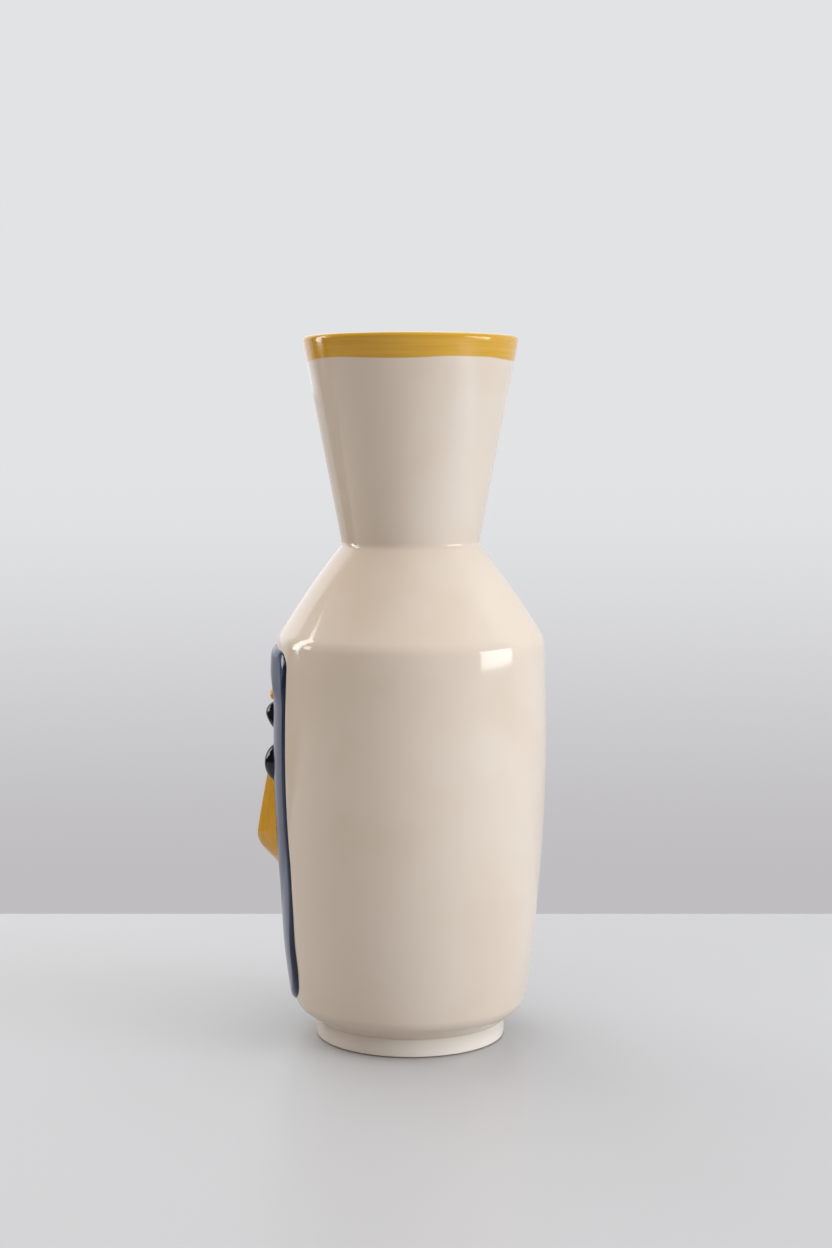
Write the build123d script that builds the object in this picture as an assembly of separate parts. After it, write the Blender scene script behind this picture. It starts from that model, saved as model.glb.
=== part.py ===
from build123d import *
import math
import os

# Face vase in glazed ceramic, in millimetres. The origin is the centre of the foot's bearing face,
# +Z runs up the axis of the vase, and the face looks along -Y, so its own left side is at +X.

# Vessel, outside
height = 310.0
rim_radius = 47.6
waist_height = 219.5
waist_radius = 30.3
shoulder_height = 179.0
shoulder_radius = 59.1
shoulder_roll_radius = 16.0
shoulder_bulge = 0.9
belly_height = 130.0
belly_radius = 60.2
base_height = 14.8
base_radius = 51.3
base_roll_radius = 8.0
foot_height = 8.2
foot_radius = 42.5

# Vessel, inside
wall = 4.2
floor_thickness = 5.2
throat_radius = 25.5
inner_roll_radius = 12.0
lip_wall = 3.9
lip_outer_round = 1.7
lip_inner_round = 1.5
foot_wall = 6.0
foot_round = 1.1

# Blue surround: a broad flat band down both sides of the face and under its chin
surround_top = 154.4
surround_half_width = 40.2
surround_side_end = 82.0
surround_chin = 13.8
surround_proud = 0.6
jaw_proud = 1.9
surround_edge_round = 0.25
field_half_width = 19.6
field_side_end = 66.0
field_chin = 35.0

# Outline of the jaw, down from the straight side: shares of the half width and of the drop to the chin
jaw_width_shares = (0.95, 0.88, 0.835, 0.71, 0.41)
jaw_drop_shares = (0.31, 0.545, 0.76, 0.90, 0.975)

# Front of the surround, down from its top: shares of its height, each with the share of the way
# from the surround's own proud to the jaw's
surround_front_shares = (
    (1.0, 0.0),
    (0.92, 0.0),
    (0.84, 0.0),
    (0.76, 0.0),
    (0.68, 0.0),
    (0.6, 0.01),
    (0.52, 0.04),
    (0.43, 0.1),
    (0.34, 0.26),
    (0.26, 0.5),
    (0.19, 0.79),
    (0.13, 0.95),
    (0.06, 0.9),
    (0.023, 0.35),
    (0.0, -0.5),
)

# Forehead band: the thicker blue roll that closes the surround above the brows
forehead_top = 174.9
forehead_proud = 2.5
forehead_corner_radius = 7.0
forehead_edge_round = 1.2

# Front of the forehead band, up from its lower edge: shares of its height, each with the share of
# the way from the surround's proud to its own
forehead_front_shares = (
    (0.0, 0.0),
    (0.17, 0.54),
    (0.42, 0.95),
    (0.69, 1.0),
    (0.88, 0.83),
    (1.0, 0.2),
)

# Nose: a long wedge that leaves the wall between the brows
nose_top = 148.0
nose_tip_height = 86.4
nose_tip_proud = 14.2
nose_tip_depth = 4.6
nose_tip_setback = 1.1
nose_foot_height = 69.6
nose_half_width = 10.8
nose_bridge_half_width = 2.4
nose_bridge_proud = 0.4
nose_root_depth = 4.0
nose_tip_round = 3.0

# Section of the nose from its side up to the crest: shares of the half width and of the proud
nose_side_shares = (0.55, 0.2)
nose_rise_shares = (0.5, 0.88)

# No edge is rounded by more than this share of what its piece stands proud
edge_round_share = 0.6

# Thickness of the film of slip that sticks the applied pieces to the wall
slip_film = 0.1

# Eyes, lids and brows, given for the left side, with places along the wall from the middle of the face
eye_place = 12.4
eye_height = 121.4
eye_half_width = 6.0
eye_half_height = 9.4
eye_proud = 5.3
eye_sink = 2.4
lid_place = 11.0
lid_height = 141.8
lid_length = 15.6
lid_radius = 5.4
lid_sink = 0.7
lid_slant = 44.0
lid_dip = 8.0
brow_place = 10.7
brow_height = 151.6
brow_half_width = 8.4
brow_half_height = 2.3
brow_proud = 2.6
brow_sink = 1.2
brow_droop = 4.0

# Half section of a lid's drop, down from its full end: shares of its length and of its radius
lid_length_shares = (0.03, 0.14, 0.33, 0.62, 0.85)
lid_radius_shares = (0.42, 0.83, 1.0, 0.72, 0.33)

# Lips
mouth_height = 53.0
mouth_gap = 0.5
upper_lip_place = 4.6
upper_lip_half_width = 7.8
upper_lip_half_height = 5.0
upper_lip_proud = 2.2
lower_lip_half_width = 10.4
lower_lip_half_height = 6.2
lower_lip_proud = 2.6
lip_sink = 1.6

# Cuts run past what they cut by this much
overrun = 10.0


def wall_radius(z):
    """Outer radius of the belly at height z, on the arc from its widest place to base or shoulder."""
    if z > belly_height:
        end_height, end_radius = shoulder_height, shoulder_radius
    else:
        end_height, end_radius = base_height, base_radius
    reach = end_height - belly_height
    narrowing = belly_radius - end_radius
    curvature = 2 * narrowing / (reach * reach + narrowing * narrowing)
    distance = z - belly_height
    return belly_radius - curvature * distance**2 / (1 + math.sqrt(1 - (curvature * distance) ** 2))


def front_reach():
    """Distance from the axis that is well in front of the wall."""
    return max(belly_radius, shoulder_radius) + overrun


def turned(profile):
    """Solid turned about the vase's axis from a closed profile in radius and height."""
    return revolve(Plane.XZ * profile, Axis.Z)


def rounded(profile, spots):
    """The profile with the corner nearest to each (radius, height) spot rounded."""
    for spot, radius in spots:
        corner = min(profile.vertices(), key=lambda v: (v.center() - Vector(*spot)).length)
        profile = fillet(corner, radius)
    return profile


def body_core(film=0):
    """Belly and shoulder as one full solid, under a film that stands out from it all round."""
    seat = (foot_radius + film, foot_height)
    base = (base_radius + film, base_height)
    belly = (belly_radius + film, belly_height)
    shoulder = (shoulder_radius + film, shoulder_height)
    waist = (waist_radius + film, waist_height)
    outline = make_face([
        Line((0, foot_height), seat),
        Line(seat, base),
        TangentArc(belly, base, tangent=(0, -1)),
        TangentArc(belly, shoulder, tangent=(0, 1)),
        SagittaArc(shoulder, waist, -shoulder_bulge),
        Line(waist, (0, waist_height)),
        Line((0, waist_height), (0, foot_height)),
    ])
    return turned(rounded(outline, [(base, base_roll_radius), (shoulder, shoulder_roll_radius)]))


def seat_core():
    """What the applied pieces' backs are cut by: the body under the film of slip that holds them."""
    return body_core(slip_film)


def body_shell():
    """Belly, shoulder and floor of one wall, open at the waist."""
    floor = foot_height + floor_thickness
    corner = (wall_radius(floor) - wall, floor)
    belly = (belly_radius - wall, belly_height)
    fall = (waist_height - shoulder_height) / (shoulder_radius - waist_radius)
    inner_shoulder_radius = shoulder_radius - wall
    inner_shoulder_height = waist_height - (inner_shoulder_radius - throat_radius) * fall
    shoulder = (inner_shoulder_radius, inner_shoulder_height)
    throat = (throat_radius, waist_height)
    hollow = make_face([
        Line((0, floor), corner),
        TangentArc(belly, corner, tangent=(0, -1)),
        TangentArc(belly, shoulder, tangent=(0, 1)),
        Line(shoulder, throat),
        Line(throat, (0, waist_height)),
        Line((0, waist_height), (0, floor)),
    ])
    spots = [(corner, inner_roll_radius), (shoulder, shoulder_roll_radius - wall)]
    return body_core() - turned(rounded(hollow, spots))


def neck_collar():
    """Inverted cone from the waist up to the rim, with a rounded lip."""
    inner_rim_radius = rim_radius - lip_wall
    outer_lip = (rim_radius, height)
    inner_lip = (inner_rim_radius, height)
    corners = [(throat_radius, waist_height), (waist_radius, waist_height), outer_lip, inner_lip]
    profile = make_face(Polyline(*corners, close=True))
    return turned(rounded(profile, [(outer_lip, lip_outer_round), (inner_lip, lip_inner_round)]))


def foot_ring():
    """Low ring that the vase stands on, with both lower edges rounded."""
    inner = foot_radius - foot_wall
    corners = [(inner, 0), (foot_radius, 0), (foot_radius, foot_height), (inner, foot_height)]
    profile = make_face(Polyline(*corners, close=True))
    return turned(rounded(profile, [((inner, 0), foot_round), ((foot_radius, 0), foot_round)]))


def prism(half_edges):
    """Outline made of half of it and its mirror image, run forwards from the axis past the wall."""
    outline = make_face(half_edges + [mirror(edge, about=Plane.YZ) for edge in half_edges])
    return extrude(Plane.XZ * outline, amount=front_reach())


def shield():
    """Prism with the whole blue mask's outline: square shoulders, straight sides and a rounded jaw."""
    side = surround_half_width
    top_corner = (side - forehead_corner_radius, forehead_top)
    top_side = (side, forehead_top - forehead_corner_radius)
    side_end = (side, surround_side_end)
    drop = surround_side_end - surround_chin
    jaw = [
        (side * width, surround_side_end - drop * fall)
        for width, fall in zip(jaw_width_shares, jaw_drop_shares)
    ]
    return prism([
        Line((0, forehead_top), top_corner),
        RadiusArc(top_corner, top_side, forehead_corner_radius),
        Line(top_side, side_end),
        Spline(side_end, *jaw, (0, surround_chin), tangents=[(0, -1), (-1, 0)]),
    ])


def field():
    """Prism with the outline of the bare wall that the surround frames, open at its top."""
    top = forehead_top + overrun
    top_end = (field_half_width, top)
    side_end = (field_half_width, field_side_end)
    chin = EllipticalCenterArc(
        (0, field_side_end), field_half_width, field_side_end - field_chin, start_angle=-90, arc_size=90
    )
    return prism([Line((0, top), top_end), Line(top_end, side_end), chin])


def front_band(low, high, prouds, front_shares):
    """Turned blank from low to high, whose front swells from the first proud towards the second."""
    proud, swollen_proud = prouds
    points = []
    for height_share, swell_share in front_shares:
        z = low + (high - low) * height_share
        points.append((wall_radius(z) + proud + (swollen_proud - proud) * swell_share, z))
    points.sort(key=lambda point: point[1])
    bottom, top = points[0], points[-1]
    profile = make_face([
        Spline(*points),
        Line(top, (0, top[1])),
        Line((0, top[1]), (0, bottom[1])),
        Line((0, bottom[1]), bottom),
    ])
    return turned(profile)


def softened(piece, radius):
    """The piece with the edges round its front rounded, but for those where surround and band meet."""
    front = max(piece.faces(), key=lambda face: face.area)
    edges = [edge for edge in front.edges() if abs(edge.center().Z - surround_top) > radius]
    return fillet(edges, radius)


def face_surround():
    """Blue band down both sides of the face and under the chin, seated on the wall."""
    prouds = (surround_proud, jaw_proud)
    blank = front_band(surround_chin, surround_top, prouds, surround_front_shares)
    band = (blank & shield()) - field() - seat_core()
    return softened(band, min(surround_edge_round, surround_proud * edge_round_share))


def forehead_band():
    """Blue roll across the top of the mask, seated on the wall and on the surround's ends."""
    prouds = (surround_proud, forehead_proud)
    blank = front_band(surround_top, forehead_top, prouds, forehead_front_shares)
    band = (blank & shield()) - seat_core()
    return softened(band, min(forehead_edge_round, forehead_proud * edge_round_share))


def nose_section(z, half_width, proud):
    """Section of the nose at height z, from inside the wall out to its crest."""
    crest = wall_radius(z) + proud
    side = math.sqrt(wall_radius(z) ** 2 - half_width ** 2)
    root = side - nose_root_depth
    flank = [
        (half_width * width, -(side + (crest - side) * rise))
        for width, rise in zip(nose_side_shares, nose_rise_shares)
    ]
    mirrored = [(-x, y) for x, y in reversed(flank)]
    section = make_face([
        Line((-half_width, -root), (half_width, -root)),
        Line((half_width, -root), (half_width, -side)),
        Spline((half_width, -side), *flank, (0, -crest), *mirrored, (-half_width, -side)),
        Line((-half_width, -side), (-half_width, -root)),
    ])
    return Pos(0, 0, z) * section


def nose():
    """Yellow wedge: a straight crest from the bridge, a blunt tip, then an underside back to the wall."""
    under_height = nose_tip_height - nose_tip_depth
    bridge = nose_section(nose_top, nose_bridge_half_width, nose_bridge_proud)
    tip = nose_section(nose_tip_height, nose_half_width, nose_tip_proud)
    under = nose_section(under_height, nose_half_width, nose_tip_proud - nose_tip_setback)
    foot = nose_section(nose_foot_height, nose_half_width, nose_bridge_proud)
    wedge = loft([bridge, tip, under, foot], ruled=True) - seat_core()
    tip_edges = [
        min(wedge.edges(), key=lambda edge: abs(edge.center().Z - height_of_edge))
        for height_of_edge in (nose_tip_height, under_height)
    ]
    return fillet(tip_edges, nose_tip_round)


def pressed(piece, place, z, sink):
    """The piece at its place on the face's left side, its middle sunk in the wall and cut off there."""
    seated = Pos(0, sink - wall_radius(z), z) * piece
    return Rot(Z=math.degrees(place / wall_radius(z))) * seated - seat_core()


def bead(place, z, half_size, proud, sink, droop=0):
    """Domed bead on the left side of the face, turned clockwise in its place by the droop."""
    half_width, half_height = half_size
    dome = scale(Sphere(1), by=(half_width, proud + sink, half_height))
    return pressed(Rot(Y=droop) * dome, place, z, sink)


def eye():
    """Left eye, an upright oval bead."""
    return bead(eye_place, eye_height, (eye_half_width, eye_half_height), eye_proud, eye_sink)


def lid():
    """Left upper lid, a drop that is full beside the nose and runs down and away from it to a point."""
    top = lid_length / 2
    flank = [
        (lid_radius * width, top - lid_length * fall)
        for width, fall in zip(lid_radius_shares, lid_length_shares)
    ]
    outline = make_face([Spline((0, top), *flank, (0, -top)), Line((0, -top), (0, top))])
    drop = Rot(Y=-lid_slant) * Rot(X=lid_dip) * turned(outline)
    return pressed(drop, lid_place, lid_height, lid_sink)


def brow():
    """Left brow, a long leaf that droops a little towards its outer end."""
    half_size = (brow_half_width, brow_half_height)
    return bead(brow_place, brow_height, half_size, brow_proud, brow_sink, droop=brow_droop)


def half_space(z, above):
    """Block that fills everything in front of the axis above or below height z."""
    size = front_reach()
    align = (Align.CENTER, Align.MAX, Align.MIN if above else Align.MAX)
    return Pos(0, 0, z) * Box(size, size, size, align=align)


def upper_lip():
    """Upper lip: two lobes that meet in a bow, cut straight along the mouth."""
    half_size = (upper_lip_half_width, upper_lip_half_height)
    lobe = bead(upper_lip_place, mouth_height, half_size, upper_lip_proud, lip_sink)
    return (lobe + mirror(lobe, about=Plane.YZ)) & half_space(mouth_height + mouth_gap / 2, above=True)


def lower_lip():
    """Lower lip: one fuller lobe below the mouth."""
    half_size = (lower_lip_half_width, lower_lip_half_height)
    lobe = bead(0, mouth_height, half_size, lower_lip_proud, lip_sink)
    return lobe & half_space(mouth_height - mouth_gap / 2, above=False)


def assembly():
    """Every piece by its node's name."""
    pieces = {
        "body_shell": body_shell(),
        "neck_collar": neck_collar(),
        "foot_ring": foot_ring(),
        "face_surround": face_surround(),
        "forehead_band": forehead_band(),
        "nose": nose(),
        "upper_lip": upper_lip(),
        "lower_lip": lower_lip(),
    }
    for name, left in (("eye", eye()), ("lid", lid()), ("brow", brow())):
        pieces[name + "_left"] = left
        pieces[name + "_right"] = mirror(left, about=Plane.YZ)
    return pieces


os.makedirs("parts", exist_ok=True)
for name, piece in assembly().items():
    export_step(piece, "parts/" + name + ".step")
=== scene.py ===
"""Looks of the glazed face vase: its glazes, the relief of its face, the light and the camera."""

import logging
import math
from dataclasses import dataclass
from enum import Enum

import bpy
import numpy as np
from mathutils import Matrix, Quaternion, Vector


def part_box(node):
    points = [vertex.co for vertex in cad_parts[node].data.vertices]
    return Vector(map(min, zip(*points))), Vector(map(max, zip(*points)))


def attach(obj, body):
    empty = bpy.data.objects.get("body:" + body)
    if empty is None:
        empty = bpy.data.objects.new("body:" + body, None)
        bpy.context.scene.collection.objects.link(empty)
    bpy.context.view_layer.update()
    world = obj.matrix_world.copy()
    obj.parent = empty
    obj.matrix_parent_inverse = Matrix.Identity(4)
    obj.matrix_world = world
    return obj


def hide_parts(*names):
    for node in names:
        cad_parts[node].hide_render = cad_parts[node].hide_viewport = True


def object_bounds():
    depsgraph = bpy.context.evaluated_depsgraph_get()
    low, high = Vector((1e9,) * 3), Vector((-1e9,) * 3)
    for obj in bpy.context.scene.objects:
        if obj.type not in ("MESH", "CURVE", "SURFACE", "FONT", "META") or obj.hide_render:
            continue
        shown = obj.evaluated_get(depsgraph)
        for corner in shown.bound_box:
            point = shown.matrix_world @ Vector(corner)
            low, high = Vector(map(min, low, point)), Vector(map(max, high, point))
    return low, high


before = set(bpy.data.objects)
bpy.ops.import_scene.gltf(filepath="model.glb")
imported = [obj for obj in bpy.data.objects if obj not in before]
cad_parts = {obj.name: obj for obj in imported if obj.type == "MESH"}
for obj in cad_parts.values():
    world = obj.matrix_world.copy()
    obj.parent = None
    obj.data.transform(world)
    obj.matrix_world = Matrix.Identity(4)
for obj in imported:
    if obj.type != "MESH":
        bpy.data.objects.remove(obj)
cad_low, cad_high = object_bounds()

LOG = logging.getLogger("face_vase")

# The shapes are worked out in millimetres and put into the meshes in metres.
MM = 0.001
BODY = "root"
SEGMENTS = 288
SHARP_ANGLE = math.radians(38)


class Slot(Enum):
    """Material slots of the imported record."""

    BODY = "cream_glaze"
    NECK = "cream_glaze_yellow_rim"
    FOOT = "cream_glaze_foot"
    BLUE = "blue_glaze"
    YELLOW = "yellow_glaze"
    BLACK = "black_glaze"


class Side(Enum):
    """Side of the face that a piece of relief is on: the sign of its place along X."""

    LEFT = 1
    RIGHT = -1


def millimetres(corner) -> np.ndarray:
    """A corner that the frame gives in metres, in millimetres."""
    return np.array(corner, float) / MM


def smooth_step(value: np.ndarray, start: float, end: float) -> np.ndarray:
    """Share from 0 at start to 1 at end, as 3 t squared less 2 t cubed, level at both ends."""
    t = np.clip((np.asarray(value, float) - start) / (end - start), 0.0, 1.0)
    return t * t * (3.0 - 2.0 * t)


def edge_rise(distance: np.ndarray, width: np.ndarray) -> np.ndarray:
    """Quarter ellipse: 0 at the edge, steep there, and 1 from the width inwards."""
    t = np.clip(distance / width, 0.0, 1.0)
    return np.sqrt(1.0 - (1.0 - t) ** 2)


def eased(count: int) -> np.ndarray:
    """Shares from 0 to 1 that crowd towards both ends, as half of one less a cosine."""
    return (1.0 - np.cos(np.linspace(0.0, math.pi, count))) / 2.0


def straight(start: np.ndarray, end: np.ndarray, count: int) -> np.ndarray:
    """Evenly spaced points from start to end."""
    share = np.linspace(0.0, 1.0, count)[:, None]
    return np.asarray(start, float) * (1.0 - share) + np.asarray(end, float) * share


def chained(*lines: np.ndarray) -> np.ndarray:
    """One line from several, each of which starts where the one before it ends."""
    return np.vstack([lines[0], *(line[1:] for line in lines[1:])])


def swung(centre: np.ndarray, start: np.ndarray, end: np.ndarray, count: int) -> np.ndarray:
    """Points on the arc about a centre, the shorter way round from start to end.

    The angle and the radius both run evenly from those of the start to those of the end.
    """
    first, last = np.asarray(start) - centre, np.asarray(end) - centre
    angle = math.atan2(first[1], first[0])
    turn = math.remainder(math.atan2(last[1], last[0]) - angle, math.tau)
    angles = angle + np.linspace(0.0, turn, count)
    radii = np.linspace(np.hypot(*first), np.hypot(*last), count)
    return centre + radii[:, None] * np.stack([np.cos(angles), np.sin(angles)], axis=1)


def filleted(
    corner: np.ndarray, before: np.ndarray, after: np.ndarray, radius: float, count: int
) -> np.ndarray:
    """Points of the round that replaces a corner between two straight sides.

    Args:
        corner: where the sides would meet.
        before: any point on the side that comes first.
        after: any point on the side that comes next.
        radius: radius of the round.
        count: number of points.

    Returns:
        The round's points, which touch both sides radius over tan(half the angle) from the corner.
    """
    corner = np.asarray(corner, float)
    first = (np.asarray(before) - corner) / np.linalg.norm(np.asarray(before) - corner)
    second = (np.asarray(after) - corner) / np.linalg.norm(np.asarray(after) - corner)
    half = math.acos(float(np.clip(first @ second, -1.0, 1.0))) / 2.0
    middle = (first + second) / np.linalg.norm(first + second)
    centre = corner + middle * radius / math.sin(half)
    reach = radius / math.tan(half)
    return swung(centre, corner + first * reach, corner + second * reach, count)


@dataclass(frozen=True)
class Bow:
    """A side of the outline that is a shallow arc, in the plane of radius and height."""

    centre: np.ndarray
    radius: float

    @classmethod
    def through(cls, start: np.ndarray, end: np.ndarray, bulge: float) -> "Bow":
        """The arc from start to end that bulges outwards, to the right of the way, at its middle."""
        chord = np.asarray(end, float) - start
        length = float(np.linalg.norm(chord))
        radius = (length**2 / 4.0 + bulge**2) / (2.0 * bulge)
        outward = np.array([chord[1], -chord[0]]) / length
        middle = (np.asarray(start, float) + end) / 2.0
        return cls(middle - outward * (radius - bulge), radius)

    def offset(self, depth: float) -> "Bow":
        """The arc that runs that deep inside this one."""
        return Bow(self.centre, self.radius - depth)

    def nearest(self, point: np.ndarray) -> np.ndarray:
        """The arc's point that lies straight out from its centre towards the given point."""
        way = np.asarray(point, float) - self.centre
        return self.centre + way / np.linalg.norm(way) * self.radius


def roll_centre(first: Bow, second: Bow, radius: float, corner: np.ndarray) -> np.ndarray:
    """Centre of the round that touches two arcs from inside.

    It is where the arcs' inner offsets by the radius cross, of the two places the one nearer to the
    corner.
    """
    inner, other = first.offset(radius), second.offset(radius)
    way = other.centre - inner.centre
    gap = float(np.linalg.norm(way))
    along = (gap**2 + inner.radius**2 - other.radius**2) / (2.0 * gap)
    across = math.sqrt(inner.radius**2 - along**2)
    foot = inner.centre + way / gap * along
    side = np.array([-way[1], way[0]]) / gap * across
    return min((foot + side, foot - side), key=lambda point: float(np.linalg.norm(point - corner)))


def linked(name: str, data: bpy.types.ID) -> bpy.types.Object:
    """A new object at the origin, linked to the scene."""
    holder = bpy.data.objects.new(name, data)
    bpy.context.scene.collection.objects.link(holder)
    return holder


@dataclass
class Mould:
    """A piece's surface as rings of points, in millimetres, before it becomes a mesh."""

    rings: np.ndarray
    first_pole: np.ndarray | None = None
    last_pole: np.ndarray | None = None
    joined: bool = False
    attributes: dict[str, np.ndarray] | None = None

    def cast(self, name: str) -> bpy.types.Object:
        """Makes the mesh object.

        Neighbouring rings are joined by four-sided faces. A pole closes the first or last ring with a
        fan, and a joined mould closes its last ring to its first. The faces are turned outwards if the
        volume, a sixth of the sum of each face's a . (b x c), comes out negative.

        Args:
            name: the object's name.

        Returns:
            The object, linked to the scene, at the origin.
        """
        count, around = self.rings.shape[:2]
        index = np.arange(count * around).reshape(count, around)
        following = np.roll(index, -1, axis=1)
        last = count if self.joined else count - 1
        upper, upper_following = np.roll(index, -1, axis=0), np.roll(following, -1, axis=0)
        quads = np.stack([index[:last], following[:last], upper_following[:last], upper[:last]], axis=-1)
        faces = quads.reshape(-1, 4)
        points = self.rings.reshape(-1, 3)
        fans = []
        for pole, ring, ring_following in (
            (self.first_pole, following[0], index[0]),
            (self.last_pole, index[-1], following[-1]),
        ):
            if pole is not None:
                centre = np.full(around, len(points))
                fans.append(np.stack([ring, ring_following, centre], axis=-1))
                points = np.vstack([points, pole])
        corners = points * MM
        halves = [faces[:, (0, 1, 2)], faces[:, (0, 2, 3)], *fans]
        volume = sum(
            float(np.sum(corners[part[:, 0]] * np.cross(corners[part[:, 1]], corners[part[:, 2]])))
            for part in halves
        )
        polygons = faces.tolist() + [face for fan in fans for face in fan.tolist()]
        if volume < 0.0:
            polygons = [face[::-1] for face in polygons]
        mesh = bpy.data.meshes.new(name)
        mesh.from_pydata(corners.tolist(), [], polygons)
        for label, values in (self.attributes or {}).items():
            poles = len(points) - count * around
            padded = np.concatenate([values.ravel(), np.zeros(poles)]).astype(np.float32)
            mesh.attributes.new(label, "FLOAT", "POINT").data.foreach_set("value", padded)
        mesh.shade_smooth()
        mesh.set_sharp_from_angle(angle=SHARP_ANGLE)
        mesh.validate()
        return linked(name, mesh)


def linear(hex_colour: str) -> tuple[float, float, float, float]:
    """An sRGB hex colour as linear red, green, blue and an alpha of 1."""
    channels = [int(hex_colour[i : i + 2], 16) / 255.0 for i in (0, 2, 4)]
    return (*[c / 12.92 if c <= 0.04045 else ((c + 0.055) / 1.055) ** 2.4 for c in channels], 1.0)


def per_metre(size_in_mm: float) -> float:
    """Scale of a pattern on coordinates in metres whose features measure that many millimetres."""
    return 1.0 / (size_in_mm * MM)


def add(tree: bpy.types.NodeTree, kind: str, inputs: dict | None = None, **settings) -> bpy.types.Node:
    """Adds a node.

    Args:
        tree: the node tree.
        kind: the node's type.
        inputs: by name or number, the output socket that links into an input, or the value it is set to.
        settings: the node's own settings.

    Returns:
        The new node.
    """
    node = tree.nodes.new(kind)
    for name, value in settings.items():
        setattr(node, name, value)
    for key, value in (inputs or {}).items():
        if isinstance(value, bpy.types.NodeSocket):
            tree.links.new(value, node.inputs[key])
        else:
            node.inputs[key].default_value = value
    return node


def mixed(tree: bpy.types.NodeTree, share, first, second) -> bpy.types.NodeSocket:
    """Colour between first and second by the share; each is a socket or a value."""
    inputs = {0: share, 6: first, 7: second}
    return add(tree, "ShaderNodeMix", inputs, data_type="RGBA").outputs[2]


def ranged(
    tree: bpy.types.NodeTree, value, start: float, end: float, low=0.0, high=1.0
) -> bpy.types.NodeSocket:
    """The value's share of the way from start to end, smooth at both ends, laid between low and high."""
    inputs = {"Value": value, "From Min": start, "From Max": end, "To Min": low, "To Max": high}
    return add(tree, "ShaderNodeMapRange", inputs, interpolation_type="SMOOTHSTEP").outputs[0]


def noise(tree: bpy.types.NodeTree, vector, detail: float = 2.0) -> bpy.types.NodeSocket:
    """Value noise at a scale that the vector already carries."""
    inputs = {"Vector": vector, "Scale": 1.0, "Detail": detail}
    return add(tree, "ShaderNodeTexNoise", inputs).outputs[0]


def scaled(
    tree: bpy.types.NodeTree, vector, size_in_mm: tuple[float, float, float]
) -> bpy.types.NodeSocket:
    """Object coordinates in metres as multiples of a feature's size along each axis."""
    inputs = {"Vector": vector, "Scale": tuple(per_metre(size) for size in size_in_mm)}
    return add(tree, "ShaderNodeMapping", inputs).outputs[0]


def patterned(
    tree: bpy.types.NodeTree,
    coordinates,
    size_in_mm: tuple[float, float, float],
    reach: tuple[float, float],
    colours: tuple[str, str],
    detail: float = 2.0,
) -> bpy.types.NodeSocket:
    """Two colours that give way to each other by noise.

    Args:
        tree: the material's nodes.
        coordinates: the object coordinates.
        size_in_mm: size of the noise's features along each axis.
        reach: values of the noise between which the first colour gives way to the second.
        colours: the two sRGB hex colours.
        detail: the noise's detail.

    Returns:
        The socket of the colour.
    """
    share = ranged(tree, noise(tree, scaled(tree, coordinates, size_in_mm), detail), *reach)
    return mixed(tree, share, *(linear(colour) for colour in colours))


def height_of(tree: bpy.types.NodeTree, vector) -> bpy.types.NodeSocket:
    """The vector's part along Z."""
    return add(tree, "ShaderNodeSeparateXYZ", {"Vector": vector}).outputs["Z"]


def levelled(tree: bpy.types.NodeTree, vector) -> bpy.types.NodeSocket:
    """The vector without its part along Z."""
    inputs = {0: vector, 1: (1.0, 1.0, 0.0)}
    return add(tree, "ShaderNodeVectorMath", inputs, operation="MULTIPLY").outputs[0]


def combined(tree: bpy.types.NodeTree, first, second, operation: str) -> bpy.types.NodeSocket:
    """Two numbers put together by a Math node's operation."""
    return add(tree, "ShaderNodeMath", {0: first, 1: second}, operation=operation).outputs[0]


def new_tree(name: str) -> tuple[bpy.types.Material, bpy.types.NodeTree, bpy.types.NodeSocket]:
    """A new material, its empty node tree and the object coordinates in it."""
    material = bpy.data.materials.new(name)
    material.use_nodes = True
    material.node_tree.nodes.clear()
    return material, material.node_tree, add(material.node_tree, "ShaderNodeTexCoord").outputs["Object"]


def finished(tree: bpy.types.NodeTree, inputs: dict) -> None:
    """Ends a tree in a principled shader with those inputs."""
    shader = add(tree, "ShaderNodeBsdfPrincipled", inputs)
    add(tree, "ShaderNodeOutputMaterial", {"Surface": shader.outputs[0]})


@dataclass(frozen=True)
class GlazedSurface:
    """How every glaze of this vase takes the light: glass-smooth over a slightly wavy body.

    A fired transparent glaze has an index near 1.5 to 1.6. Its surface lies in long soft waves, too
    low to feel, which bend the edges of reflections.
    """

    roughness: float = 0.1
    index: float = 1.5
    wave_mm: float = 14.0
    wave_height_mm: float = 0.03

    def shade(self, tree: bpy.types.NodeTree, coordinates, colour, roughness=None) -> None:
        """Ends a tree in the glaze's shader.

        Args:
            tree: the material's nodes.
            coordinates: the object coordinates.
            colour: the socket or value of the base colour.
            roughness: a socket that takes the place of the plain roughness, or None.
        """
        waves = noise(tree, scaled(tree, coordinates, (self.wave_mm,) * 3), detail=1.0)
        swell = {"Height": waves, "Strength": 1.0, "Distance": self.wave_height_mm * MM}
        finished(tree, {
            "Base Color": colour,
            "Roughness": self.roughness if roughness is None else roughness,
            "IOR": self.index,
            "Normal": add(tree, "ShaderNodeBump", swell).outputs[0],
        })


@dataclass(frozen=True)
class CreamGlaze:
    """Opaque cream glaze over white earthenware, dipped.

    It is nearly even, with faint clouds where the glaze is thicker.
    """

    surface: GlazedSurface = GlazedSurface()
    colour: str = "e3d4c3"
    thick: str = "e0cfbc"
    cloud_mm: float = 38.0
    cloud_range: tuple[float, float] = (0.35, 0.7)

    def cream(self, tree: bpy.types.NodeTree, coordinates) -> bpy.types.NodeSocket:
        """Colour of the cream, which clouds by about the size of a thumb."""
        size, colours = (self.cloud_mm,) * 3, (self.colour, self.thick)
        return patterned(tree, coordinates, size, self.cloud_range, colours)

    def material(self) -> bpy.types.Material:
        """The glaze of the body."""
        material, tree, coordinates = new_tree("cream_glaze")
        self.surface.shade(tree, coordinates, self.cream(tree, coordinates))
        return material


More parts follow.
